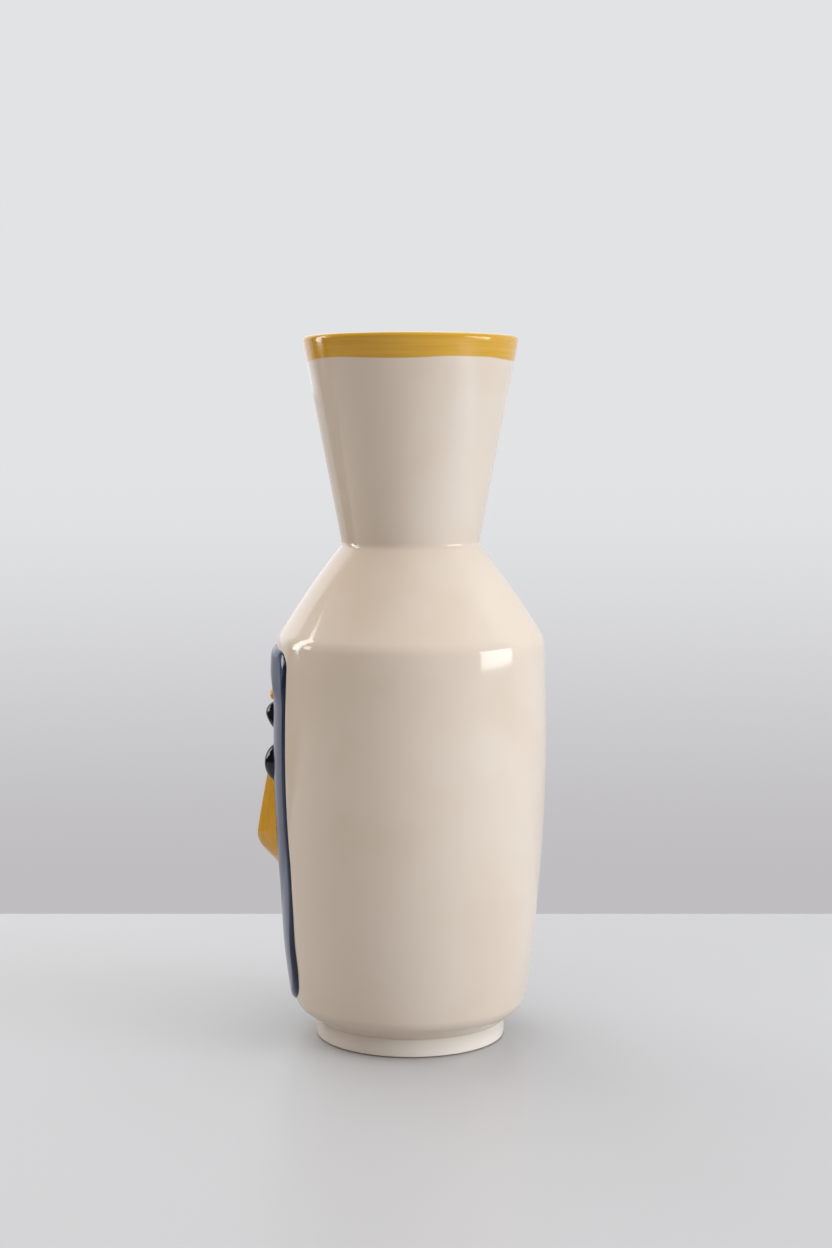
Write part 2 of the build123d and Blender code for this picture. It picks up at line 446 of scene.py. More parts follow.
@dataclass(frozen=True)
class RimGlaze:
    """Cream glaze with a band of honey-yellow glaze brushed round under the lip.

    The brush leaves a slightly wavy lower edge and faint level streaks, and the yellow turns pale over
    the top of the lip.
    """

    cream: CreamGlaze
    rim_height: float
    colour: str = "deaa3a"
    streak: str = "d29e31"
    pale: str = "efe3c6"
    band_depth: float = 10.6
    edge_sway: float = 0.6
    edge_blur: float = 0.35
    lip_depth: float = 0.75
    lip_crest: float = 0.1
    streak_mm: float = 0.8
    streak_length_mm: float = 30.0
    streak_range: tuple[float, float] = (0.3, 0.75)
    sway_mm: float = 45.0
    sway_range: tuple[float, float] = (0.3, 0.7)
    inner_radius: float = 43.6
    outer_radius: float = 44.6

    def material(self) -> bpy.types.Material:
        """The glaze of the neck."""
        material, tree, coordinates = new_tree("cream_glaze_with_yellow_rim")
        height = height_of(tree, coordinates)
        sway = noise(tree, scaled(tree, coordinates, (self.sway_mm,) * 3), detail=0.0)
        shift = ranged(tree, sway, *self.sway_range, -self.edge_sway * MM, self.edge_sway * MM)
        swayed = combined(tree, height, shift, "ADD")
        edge = self.rim_height - self.band_depth
        band = ranged(tree, swayed, (edge - self.edge_blur) * MM, (edge + self.edge_blur) * MM)
        lip_low, lip_high = self.rim_height - self.lip_depth, self.rim_height - self.lip_crest
        lip = ranged(tree, height, lip_low * MM, lip_high * MM)
        stroke = (self.streak_length_mm, self.streak_length_mm, self.streak_mm)
        colours = (self.colour, self.streak)
        yellow = patterned(tree, coordinates, stroke, self.streak_range, colours, detail=3.0)
        over_lip = mixed(tree, lip, yellow, linear(self.pale))
        painted = combined(tree, band, self.outside(tree, coordinates), "MULTIPLY")
        colour = mixed(tree, painted, self.cream.cream(tree, coordinates), over_lip)
        self.cream.surface.shade(tree, coordinates, colour)
        return material

    def outside(self, tree: bpy.types.NodeTree, coordinates) -> bpy.types.NodeSocket:
        """1 on the outer face and the lip, and 0 on the neck's inner face, by the way from the axis."""
        level = {0: levelled(tree, coordinates)}
        radius = add(tree, "ShaderNodeVectorMath", level, operation="LENGTH").outputs["Value"]
        return ranged(tree, radius, self.inner_radius * MM, self.outer_radius * MM)


@dataclass(frozen=True)
class FootGlaze:
    """Cream glaze that pales towards the foot's edge, from thinner glaze together with painted light
    that stands in for light bounced up from the table.

    It is wiped off the bearing face, where the unglazed clay is painted dark brown as painted contact
    shadow, which draws a fine dark line round the foot where it meets the table.
    """

    cream: CreamGlaze
    # Pale colour towards the foot's edge: thinner glaze together with painted bounce light from the
    # table.
    thin: str = "fdf3e6"
    # Painted contact shadow: dark brown on the wiped foot stands in for the shade where the foot meets
    # the table.
    clay_and_contact_shade: str = "a8917c"
    wiped: float = 0.7
    thin_and_bounce_height: float = 13.0
    bare_roughness: float = 0.8

    def material(self) -> bpy.types.Material:
        """The glaze of the foot ring."""
        material, tree, coordinates = new_tree("cream_glaze_of_the_foot")
        height = height_of(tree, coordinates)
        # Painted bounce light: the glaze pales towards the bottom of the foot.
        thin_and_bounce_lit = ranged(tree, height, self.thin_and_bounce_height * MM, 0.0)
        wiped, dry = self.wiped * MM, self.wiped / 2.0 * MM
        # Painted contact shadow on the wiped bearing face and its round; the roughness below is the real
        # unglazed clay.
        bare = ranged(tree, height, wiped, dry)
        glazed = mixed(tree, thin_and_bounce_lit, self.cream.cream(tree, coordinates), linear(self.thin))
        colour = mixed(tree, bare, glazed, linear(self.clay_and_contact_shade))
        roughness = ranged(tree, height, wiped, dry, self.cream.surface.roughness, self.bare_roughness)
        self.cream.surface.shade(tree, coordinates, colour, roughness)
        return material


@dataclass(frozen=True)
class BrushedGlaze:
    """Coloured glaze laid on with a soft brush over the relief.

    It streaks along the stroke and darkens along the edges, partly as glaze that pools there and partly
    as painted shade where the relief meets the wall and its rounded borders turn from the light. The
    mesh gives those as the attribute edge, which is the distance in millimetres from the blue band's
    borders, or for the other pieces the rise above the wall.
    """

    name: str
    colour: str
    streak: str
    # Darker colour along the edges: pooling glaze together with painted shade where the relief meets the
    # wall.
    pooled_and_shaded: str
    stroke_mm: tuple[float, float, float]
    stroke_range: tuple[float, float] = (0.3, 0.7)
    pooling_and_shade_mm: float = 1.3
    pooling_and_shade_share: float = 1.0
    surface: GlazedSurface = GlazedSurface(roughness=0.16)

    def material(self) -> bpy.types.Material:
        """The brushed glaze."""
        material, tree, coordinates = new_tree(self.name)
        colours = (self.colour, self.streak)
        body = patterned(tree, coordinates, self.stroke_mm, self.stroke_range, colours, detail=3.0)
        edge = add(tree, "ShaderNodeAttribute", attribute_name="edge").outputs["Fac"]
        # Painted shade with pooling glaze: darker towards the borders and towards the wall.
        pooling_and_shade = ranged(tree, edge, self.pooling_and_shade_mm, 0.0, 0.0, self.pooling_and_shade_share)
        self.surface.shade(tree, coordinates, mixed(tree, pooling_and_shade, body, linear(self.pooled_and_shaded)))
        return material


@dataclass(frozen=True)
class BlackGlaze:
    """Thick black glaze on the eyes and lids: glassy, with a hint of blue where it is thin."""

    surface: GlazedSurface = GlazedSurface(roughness=0.05, index=1.5, wave_height_mm=0.01)
    colour: str = "06080b"
    thin: str = "141a22"
    patch_mm: float = 5.0
    patch_range: tuple[float, float] = (0.45, 0.8)

    def material(self) -> bpy.types.Material:
        """The black glaze."""
        material, tree, coordinates = new_tree("black_glaze")
        size, colours = (self.patch_mm,) * 3, (self.colour, self.thin)
        colour = patterned(tree, coordinates, size, self.patch_range, colours)
        self.surface.shade(tree, coordinates, colour)
        return material


def placed(
    piece: bpy.types.Object, slot: Slot, material: bpy.types.Material, *nodes: str
) -> bpy.types.Object:
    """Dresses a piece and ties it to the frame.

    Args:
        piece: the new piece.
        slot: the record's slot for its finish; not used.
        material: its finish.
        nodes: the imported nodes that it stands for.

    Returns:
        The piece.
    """
    piece.data.materials.append(material)
    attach(piece, BODY)
    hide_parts(*nodes)
    LOG.info("%s: %d faces for %s", piece.name, len(piece.data.polygons), ", ".join(nodes))
    return piece


@dataclass(frozen=True)
class Wave:
    """One slow wave that the hand leaves round the vessel.

    It has a share of the sway, a number of crests round the vessel and a starting angle, and it
    drifts by one radian in so many millimetres of height.
    """

    share: float
    crests: float
    drift: float
    start: float


@dataclass
class Vessel:
    """The thrown vessel: belly and shoulder, neck and foot, each turned from its own outline.

    Its heights and widest radii come from the frame. The rest are the template's own sizes, in
    millimetres. The creases at the waist and the foot hold a small concave round of glaze. An arm is
    how far from a corner its round takes the direction of the foot's upright side, and a hub is the
    ring round the middle of the floor and of the underside.
    """

    waist_height: float
    height: float
    foot_height: float
    belly_radius: float
    belly_height: float = 130.0
    waist_radius: float = 30.3
    shoulder_height: float = 178.2
    shoulder_radius: float = 59.1
    shoulder_roll: float = 11.0
    shoulder_bulge: float = 0.9
    base_height: float = 14.8
    base_radius: float = 51.3
    base_roll: float = 8.0
    base_bulge: float = 0.05
    rim_radius: float = 47.6
    foot_radius: float = 42.5
    foot_flare: float = 0.4
    foot_wall: float = 6.0
    foot_round: float = 0.9
    wall: float = 4.2
    floor: float = 13.4
    floor_roll: float = 12.0
    throat_radius: float = 25.5
    throat_round: float = 5.0
    lip_wall: float = 3.9
    lip_outer_round: float = 1.8
    lip_inner_round: float = 1.6
    waist_glaze: float = 3.2
    foot_glaze: float = 1.2
    arm: float = 5.0
    hub: float = 2.0
    under_inset: float = 1.0
    sway: float = 0.1
    waves: tuple[Wave, ...] = (
        Wave(1.0, 2.0, 75.0, 1.1),
        Wave(0.6, 3.0, -52.0, -0.7),
        Wave(0.35, 5.0, 31.0, 2.0),
    )
    inward: float = 1.3
    lean: float = 0.8
    lean_angle: float = 196.0
    lean_low: float = 166.0
    lean_middle: float = 190.0
    lean_high: float = 214.0

    @classmethod
    def from_frame(cls) -> "Vessel":
        """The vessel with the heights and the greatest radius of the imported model."""
        neck_low, neck_high = (millimetres(corner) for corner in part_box("neck_collar"))
        return cls(
            waist_height=float(neck_low[2]),
            height=float(neck_high[2]),
            foot_height=float(millimetres(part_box("foot_ring")[1])[2]),
            belly_radius=float(millimetres(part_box("body_shell")[1])[0]),
        )

    def __post_init__(self) -> None:
        """Works out the corners, the four bowed sides of the outer outline, and the shared rounds.

        Each of the rounds runs on from one piece into the next, and each piece takes its half.
        """
        self.seat = np.array([self.foot_radius, self.foot_height])
        self.base = np.array([self.base_radius, self.base_height])
        self.belly = np.array([self.belly_radius, self.belly_height])
        self.shoulder = np.array([self.shoulder_radius, self.shoulder_height])
        self.waist = np.array([self.waist_radius, self.waist_height])
        self.rim = np.array([self.rim_radius, self.height])
        self.under = Bow.through(self.seat, self.base, self.base_bulge)
        self.lower = self.side(self.base)
        self.upper = self.side(self.shoulder)
        self.slope = Bow.through(self.shoulder, self.waist, self.shoulder_bulge)
        self.base_centre = roll_centre(self.under, self.lower, self.base_roll, self.base)
        self.shoulder_centre = roll_centre(self.upper, self.slope, self.shoulder_roll, self.shoulder)
        self.foot_top = self.seat - (self.foot_flare / 2.0, 0.0)
        foot_side = self.foot_top - (0.0, self.arm)
        self.foot_crease = filleted(self.seat, foot_side, self.base, self.foot_glaze, 15)
        self.waist_crease = filleted(self.waist, self.shoulder, self.rim, self.waist_glaze, 17)
        self.throat = np.array([self.throat_radius, self.waist_height])
        self.inner_rim = self.rim - (self.lip_wall, 0.0)
        self.wall_top = self.slope.offset(self.wall).nearest(self.shoulder_centre)
        self.throat_bend = filleted(
            self.throat, self.inner_rim, self.wall_top, self.throat_round, 13
        )
        self.outer = self.outline()

    def side(self, end: np.ndarray) -> Bow:
        """The arc that is upright at the belly's widest place and runs to the end point."""
        drop = end[1] - self.belly_height
        narrowing = self.belly_radius - end[0]
        radius = (drop**2 + narrowing**2) / (2.0 * narrowing)
        return Bow(np.array([self.belly_radius - radius, self.belly_height]), float(radius))

    def outline(self) -> np.ndarray:
        """Outer outline of the body in radius and height, from the foot's crease to the waist's."""
        foot_crease, waist_crease = self.foot_crease[7:], self.waist_crease[:9]
        base_start = self.under.nearest(self.base_centre)
        base_end = self.lower.nearest(self.base_centre)
        roll_start = self.upper.nearest(self.shoulder_centre)
        roll_end = self.slope.nearest(self.shoulder_centre)
        return chained(
            foot_crease,
            swung(self.under.centre, foot_crease[-1], base_start, 10),
            swung(self.base_centre, base_start, base_end, 18),
            swung(self.lower.centre, base_end, self.belly, 60),
            swung(self.upper.centre, self.belly, roll_start, 24),
            swung(self.shoulder_centre, roll_start, roll_end, 26),
            swung(self.slope.centre, roll_end, waist_crease[0], 30),
            waist_crease,
        )

    def inner_outline(self) -> np.ndarray:
        """Inner outline of the body, from the throat down the wall to the middle of the floor."""
        bend = self.throat_bend[6:]
        wall_side = self.upper.offset(self.wall)
        lower = self.lower.offset(self.wall)
        roll_height = self.floor + self.floor_roll
        rise = roll_height - lower.centre[1]
        reach = math.sqrt((lower.radius - self.floor_roll) ** 2 - rise**2)
        floor_centre = np.array([lower.centre[0] + reach, roll_height])
        side_end = lower.nearest(floor_centre)
        belly = self.belly - (self.wall, 0.0)
        side_top = wall_side.nearest(self.shoulder_centre)
        floor_edge = floor_centre - (0.0, self.floor_roll)
        return chained(
            bend,
            straight(bend[-1], self.wall_top, 14),
            swung(self.shoulder_centre, self.wall_top, side_top, 16),
            swung(wall_side.centre, side_top, belly, 12),
            swung(lower.centre, belly, side_end, 30),
            swung(floor_centre, side_end, floor_edge, 16),
            straight(floor_edge, (self.hub, self.floor), 12),
        )

    def radius_at(self, height: np.ndarray) -> np.ndarray:
        """Outer radius of the body at a height."""
        return np.interp(height, self.outer[:, 1], self.outer[:, 0])

    def swayed(self, angle: np.ndarray, height: np.ndarray) -> np.ndarray:
        """What the hand adds to the radius: slow waves round the vessel, and a slope that leans.

        The waves drift with height, and their mean lies inwards, so that their crests stay within the
        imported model's box. The lean is a cosine of the angle from its side, and eases in from the low
        height to the middle one and out again to the high one.
        """
        waves = sum(
            wave.share * np.sin(wave.crests * angle + height / wave.drift + wave.start)
            for wave in self.waves
        )
        leaning = smooth_step(height, self.lean_low, self.lean_middle)
        leaning = leaning * smooth_step(height, self.lean_high, self.lean_middle)
        lean = self.lean * leaning * np.cos(angle - math.radians(self.lean_angle))
        return self.sway * (waves - self.inward) + lean

    def turned(self, profile: np.ndarray, **ends) -> Mould:
        """Turns an outline about the axis: x = r cos a, y = r sin a, with r swayed a little by hand."""
        angle = np.linspace(0.0, math.tau, SEGMENTS, endpoint=False)
        radius = profile[:, :1] + self.swayed(angle[None, :], profile[:, 1:])
        height = np.broadcast_to(profile[:, 1:], radius.shape)
        rings = np.stack([radius * np.cos(angle), radius * np.sin(angle), height], axis=-1)
        return Mould(rings, **ends)

    def body(self) -> bpy.types.Object:
        """Belly, shoulder and floor, from the underside's middle round to the floor's."""
        under = straight((self.hub, self.foot_height), self.outer[0] - (self.under_inset, 0.0), 14)
        profile = np.vstack([under, self.outer, self.inner_outline()])
        poles = {
            "first_pole": np.array([0.0, 0.0, self.foot_height]),
            "last_pole": np.array([0.0, 0.0, self.floor]),
        }
        return self.turned(profile, **poles).cast("glazed_body")

    def neck(self) -> bpy.types.Object:
        """Inverted cone from the middle of the waist's crease up to the rounded lip and down inside."""
        crease, bend = self.waist_crease[8:], self.throat_bend[:7]
        outer_lip = filleted(self.rim, self.waist, self.inner_rim, self.lip_outer_round, 12)
        inner_lip = filleted(self.inner_rim, self.rim, self.throat, self.lip_inner_round, 11)
        outside = chained(crease, straight(crease[-1], outer_lip[0], 56), outer_lip)
        inside = chained(inner_lip, straight(inner_lip[-1], bend[0], 40), bend)
        return self.turned(np.vstack([outside, inside]), joined=True).cast("glazed_neck")

    def foot(self) -> bpy.types.Object:
        """Low ring under the belly, drawn in a little towards its bearing face, hollow underneath."""
        foot_low = np.array([self.foot_radius - self.foot_flare, 0.0])
        inner_low = np.array([self.foot_radius - self.foot_wall, 0.0])
        inner_top = inner_low + (0.0, self.foot_height)
        crease = self.foot_crease[:8][::-1]
        outer_edge = filleted(foot_low, self.foot_top, inner_low, self.foot_round, 12)
        inner_edge = filleted(inner_low, foot_low, inner_top, self.foot_round, 12)
        recess = filleted(inner_top, inner_low, inner_top - (self.arm, 0.0), self.foot_glaze, 10)
        profile = chained(
            crease,
            straight(crease[-1], outer_edge[0], 10),
            outer_edge,
            straight(outer_edge[-1], inner_edge[0], 5),
            inner_edge,
            straight(inner_edge[-1], recess[0], 8),
            recess,
        )
        return self.turned(profile, joined=True).cast("glazed_foot")


@dataclass
class Relief:
    """What the applied pieces share: how a point of the front view lands on the wall.

    A point has a place x across the face, a height z and a rise above the wall. It lies at the
    radius R = wall at z + rise, turned from the face's middle by the angle whose sine is x / R.
    """

    vessel: Vessel
    sunk: float = 0.7

    def on_wall(self, x: np.ndarray, z: np.ndarray, rise: np.ndarray) -> np.ndarray:
        """Points in millimetres, on an array's last axis."""
        radius = self.vessel.radius_at(z) + rise
        angle = np.arcsin(np.clip(x / radius, -1.0, 1.0))
        radius = radius + self.vessel.swayed(angle - math.pi / 2.0, z)
        return np.stack([radius * np.sin(angle), -radius * np.cos(angle), z], axis=-1)

    def slab(
        self, name: str, x: np.ndarray, z: np.ndarray, rise: np.ndarray, edge: np.ndarray
    ) -> bpy.types.Object:
        """A piece whose face rises off the wall and whose back is sunk in it.

        Args:
            name: the piece's name.
            x: places across the face, one row for each section of the piece.
            z: heights, in the same rows.
            rise: rise of the face above the wall.
            edge: what the attribute edge says on the face. It is 0 on the back.

        Returns:
            The piece, closed at both ends by a cap.
        """
        back = self.on_wall(x, z, np.full_like(x, -self.sunk))[:, ::-1]
        rings = np.concatenate([self.on_wall(x, z, rise), back], axis=1)
        distance = np.concatenate([edge, np.zeros_like(edge)], axis=1)
        poles = {"first_pole": rings[0].mean(axis=0), "last_pole": rings[-1].mean(axis=0)}
        return Mould(rings, attributes={"edge": distance}, **poles).cast(name)


def whole(half: np.ndarray) -> np.ndarray:
    """The line that a half makes together with its mirror image."""
    return chained(half, (half * (-1.0, 1.0))[::-1])


def border_distance(x: np.ndarray, z: np.ndarray, border: np.ndarray) -> np.ndarray:
    """Least distance from each point to a border, as the shortest way to any of its straight pieces."""
    start, way = border[:-1], np.diff(border, axis=0)
    length = np.maximum((way**2).sum(axis=1), 1e-9)
    points = np.stack([x.ravel(), z.ravel()], axis=1)
    gap = points[:, None, :] - start[None, :, :]
    share = np.clip((gap * way).sum(axis=2) / length, 0.0, 1.0)
    nearest = gap - share[..., None] * way
    return np.sqrt((nearest**2).sum(axis=2).min(axis=1)).reshape(x.shape)


def spaced(points: np.ndarray, count: int) -> np.ndarray:
    """The line through the points as that many points, evenly spaced along it."""
    steps = np.hypot(*np.diff(points, axis=0).T)
    travelled = np.concatenate([[0.0], np.cumsum(steps)])
    wanted = np.linspace(0.0, travelled[-1], count)
    return np.stack([np.interp(wanted, travelled, points[:, axis]) for axis in (0, 1)], axis=1)


def curved(points: np.ndarray, per_span: int) -> np.ndarray:
    """Smooth line from the second point to the last but one.

    Each span is the cubic whose slope at a point is half the way between that point's neighbours.
    """
    share = np.linspace(0.0, 1.0, per_span, endpoint=False)[None, :, None]
    before, start, end, after = (points[i : len(points) - 3 + i, None, :] for i in range(4))
    cubic = (
        2.0 * start
        + (end - before) * share
        + (2.0 * before - 5.0 * start + 4.0 * end - after) * share**2
        + (3.0 * start - before - 3.0 * end + after) * share**3
    ) / 2.0
    return np.vstack([cubic.reshape(-1, 2), points[-2]])


@dataclass
class Mask(Relief):
    """The blue band round the face: a flat surround that swells at the jaw, and a forehead roll.

    A pair such as jaw_start and jaw_full gives the heights, or the places across, between which a
    change eases in.
    """

    top: float = 174.9
    seam: float = 154.4
    half_width: float = 40.2
    side_end: float = 82.0
    chin: float = 13.8
    corner: float = 7.0
    arch: float = 1.4
    field_half_width: float = 19.6
    field_side_end: float = 66.0
    field_chin: float = 35.0
    field_corner: float = 2.5
    proud: float = 0.75
    jaw_proud: float = 1.9
    forehead_proud: float = 2.4
    jaw_width_shares: tuple[float, ...] = (0.95, 0.88, 0.835, 0.71, 0.41)
    jaw_drop_shares: tuple[float, ...] = (0.31, 0.545, 0.76, 0.90, 0.975)
    outer_round: float = 1.3
    top_round: float = 4.5
    chin_round: float = 3.5
    inner_round: float = 3.6
    brow_slope: float = 10.5
    brow_start: float = 1.0
    temple_share: float = 0.35
    jaw_start: float = 72.0
    jaw_full: float = 34.0
    forehead_start: float = 149.0
    forehead_full: float = 159.0
    temple_start: float = 25.0
    temple_full: float = 37.0
    top_round_start: float = 158.0
    top_round_full: float = 171.0
    chin_round_start: float = 34.0
    chin_round_full: float = 18.0
    rows: int = 38

    def outer_half(self) -> np.ndarray:
        """Right half of the outer border in the front view, from the seam down to the chin."""
        drop = self.side_end - self.chin
        jaw = [
            (self.half_width * width, self.side_end - drop * fall)
            for width, fall in zip(self.jaw_width_shares, self.jaw_drop_shares)
        ]
        above = (self.half_width, self.side_end + drop * self.jaw_drop_shares[0])
        beyond = (-jaw[-1][0], jaw[-1][1])
        points = np.array([above, (self.half_width, self.side_end), *jaw, (0.0, self.chin), beyond])
        side = straight((self.half_width, self.seam), (self.half_width, self.side_end), 60)
        return np.vstack([side[:-1], curved(points, 24)])

    def inner_half(self) -> np.ndarray:
        """Right half of the bare field's border, from the seam down and round the chin's ellipse."""
        angle = np.linspace(0.0, math.pi / 2.0, 60)
        width, depth = self.field_half_width, self.field_side_end - self.field_chin
        chin = np.stack([width * np.cos(angle), self.field_side_end - depth * np.sin(angle)], axis=1)
        side = straight((width, self.seam), (width, self.field_side_end), 60)
        return np.vstack([side[:-1], chin])

    def outer_top(self) -> np.ndarray:
        """Outer border over the forehead, from the seam at the right to the seam at the left.

        Its top is level but for an arch, which falls away as the square of x to nothing at the corners.
        """
        low = self.top - self.arch
        right = np.array([self.half_width, low])
        corner = filleted(right, (self.half_width, self.seam), (0.0, low), self.corner, 18)
        level = straight(corner[-1], (0.0, low), 24)[1:]
        half = np.vstack([straight((self.half_width, self.seam), corner[0], 8)[:-1], corner, level])
        half[:, 1] += self.arch * (1.0 - (half[:, 0] / self.half_width) ** 2)
        return whole(half)

    def borders(self) -> tuple[np.ndarray, np.ndarray]:
        """The whole outer border and the whole inner one, each closed."""
        outer = chained(whole(self.outer_half()), self.outer_top()[::-1])
        inner = whole(self.inner_half())
        return outer, np.vstack([inner, inner[:1]])

    def rise(self, x: np.ndarray, z: np.ndarray) -> tuple[np.ndarray, np.ndarray]:
        """Rise of the blue above the wall, and the distance to its nearest border.

        The rise is the place's own proud times a quarter ellipse at each border. The outer round is
        wide over the forehead and under the chin, and narrow down the sides. The roll of the forehead
        is fullest in the middle and lower at the temples, and eases down towards the brows.
        """
        outer, inner = (border_distance(x, z, border) for border in self.borders())
        jaw = smooth_step(z, self.jaw_start, self.jaw_full)
        forehead = smooth_step(z, self.forehead_start, self.forehead_full)
        outside = smooth_step(np.abs(x), self.temple_start, self.temple_full)
        temple = 1.0 - (1.0 - self.temple_share) * outside
        proud = self.proud + (self.jaw_proud - self.proud) * jaw
        proud = proud + (self.forehead_proud - self.proud) * forehead * temple
        top = smooth_step(z, self.top_round_start, self.top_round_full)
        chin = smooth_step(z, self.chin_round_start, self.chin_round_full)
        width = self.outer_round + (self.top_round - self.outer_round) * top
        width = width + (self.chin_round - self.outer_round) * chin
        slope = smooth_step(inner, self.brow_start, self.brow_slope)
        inside = edge_rise(inner, self.inner_round) * (1.0 - forehead) + slope * forehead
        return proud * edge_rise(outer, width) * inside, np.minimum(outer, inner)

    def band(self, name: str, outer: np.ndarray, inner: np.ndarray) -> bpy.types.Object:
        """A stretch of the blue band as a section carried from the pair of seam points to the other.

        Args:
            name: the piece's name.
            outer: points of the outer border, one for each section.
            inner: as many points of the inner border.

        Returns:
            The piece, with a cap at each seam.
        """
        share = eased(self.rows)[None, :]
        x = outer[:, :1] * (1.0 - share) + inner[:, :1] * share
        z = outer[:, 1:] * (1.0 - share) + inner[:, 1:] * share
        return self.slab(name, x, z, *self.rise(x, z))

    def surround(self) -> bpy.types.Object:
        """Both sides of the face and under its chin."""
        sections = 330
        outer, inner = (
            spaced(whole(half), sections) for half in (self.outer_half(), self.inner_half())
        )
        return self.band("blue_surround", outer, inner)

    def forehead(self) -> bpy.types.Object:
        """The roll across the top, whose lower edge hangs over the brows."""
        sections = 150
        end = np.array([self.field_half_width, self.seam])
        outer = spaced(self.outer_top(), sections)
        inner = spaced(np.stack([end, end * (-1.0, 1.0)]), sections)
        return self.band("blue_forehead", outer, inner)


@dataclass
class Nose(Relief):
    """The long yellow wedge: a straight crest, a blunt tip, and an underside back to the wall."""

    top: float = 148.0
    tip: float = 86.4
    under: float = 81.8
    bottom: float = 69.6
    half_width: float = 10.8
    bridge_half_width: float = 2.4
    bridge_proud: float = 0.4
    tip_proud: float = 14.2
    under_proud: float = 13.1
    tip_round: float = 2.4
    crest_share: float = 0.12
    across: int = 41
    levels: int = 170

    def size_at(self, z: np.ndarray) -> tuple[np.ndarray, np.ndarray]:
        """Half width and proud of the crest at a height.

        Both run straight between the bridge, the tip, the underside's start and the foot. The proud is
        the mean over a short stretch of height, which rounds the corners off.
        """
        places = (self.bottom, self.under, self.tip, self.top)
        prouds = (self.bridge_proud, self.under_proud, self.tip_proud, self.bridge_proud)
        stretch = np.linspace(-self.tip_round, self.tip_round, 15)
        proud = np.interp(z[..., None] + stretch, places, prouds).mean(axis=-1)
        width = np.interp(z, (self.tip, self.top), (self.half_width, self.bridge_half_width))
        return width, proud

    def make(self) -> bpy.types.Object:
        """The nose.

        A section rises from the side to the crest by g(q) = (h(1) - h(q)) / (h(1) - h(0)), where q is
        the share of the half width, h(q) = sqrt(q squared + e squared) and e is the crest's share.
        """
        z = self.bottom + (self.top - self.bottom) * eased(self.levels)[:, None]
        width, proud = self.size_at(z)
        q = np.linspace(-1.0, 1.0, self.across)[None, :]
        crest = self.crest_share
        reach = math.hypot(1.0, crest)
        rise = proud * (reach - np.sqrt(q**2 + crest**2)) / (reach - crest)
        x = width * q
        return self.slab("yellow_nose", x, np.broadcast_to(z, x.shape), rise, rise)


@dataclass
class Pressed(Relief):
    """A piece that is pressed on, sunk a little in the wall.

    It is drawn in the plane that touches the wall at its place, which is measured along the wall
    from the middle of the face, and the slant turns it in that plane.
    """

    place: float = 0.0
    height: float = 0.0
    sink: float = 0.0
    slant: float = 0.0
    side: Side = Side.LEFT
    around: int = 72

    def stood(self, x: np.ndarray, z: np.ndarray, outward: np.ndarray) -> np.ndarray:
        """Turns points of the piece's plane by the slant and stands them on the wall at its place."""
        slant = math.radians(self.slant)
        level = x * math.cos(slant) + z * math.sin(slant)
        height = z * math.cos(slant) - x * math.sin(slant) + self.height
        radius = float(self.vessel.radius_at(self.height))
        turn = self.place / radius
        out = radius + outward
        across = self.side.value * (level * math.cos(turn) + out * math.sin(turn))
        front = -out * math.cos(turn) + level * math.sin(turn)
        return np.stack([across, front, height], axis=-1)

    def pole(self, z: float, outward: float) -> np.ndarray:
        """One point of the piece's own upright line, stood on the wall."""
        return self.stood(np.zeros(1), np.array([z]), np.array([outward]))[0]


@dataclass
class Bead(Pressed):
    """A domed bead: its dome ends just under the wall, and a small ring and a pole close it there."""

    half_width: float = 1.0
    half_height: float = 1.0
    proud: float = 1.0
    fullness: float = 2.0
    edge_depth: float = 1.2
    back_depth: float = 1.6
    back_share: float = 0.5
    pole_depth: float = 1.8
    circles: int = 30

    def make(self, name: str) -> bpy.types.Object:
        """The bead: rings of a dome from its crown out to where it has gone into the wall.

        On the ring at share s of the width, the depth is (proud + sink) (1 - s^n)^(1/n) less the sink,
        where n is the fullness.
        """
        depth = self.proud + self.sink
        buried = max(self.sink - self.edge_depth, 0.0) / depth
        last = (1.0 - buried**self.fullness) ** (1.0 / self.fullness)
        share = np.sin(np.linspace(0.0, math.asin(last), self.circles + 1)[1:])[:, None]
        angle = np.linspace(0.0, math.tau, self.around, endpoint=False)[None, :]
        x = share * np.cos(angle) * self.half_width
        z = share * np.sin(angle) * self.half_height
        dome = np.maximum(1.0 - share**self.fullness, 0.0) ** (1.0 / self.fullness)
        outward = np.broadcast_to(depth * dome - self.sink, x.shape)
        inner = self.back_share
        back = self.stood(x[-1:] * inner, z[-1:] * inner, np.full_like(x[-1:], -self.back_depth))
        rings = np.concatenate([self.stood(x, z, outward), back])
        poles = [self.pole(0.0, out) for out in (self.proud, -self.pole_depth)]
        edge = np.concatenate([np.maximum(outward, 0.0), np.zeros_like(outward[-1:])])
        return Mould(rings, *poles, attributes={"edge": edge}).cast(name)


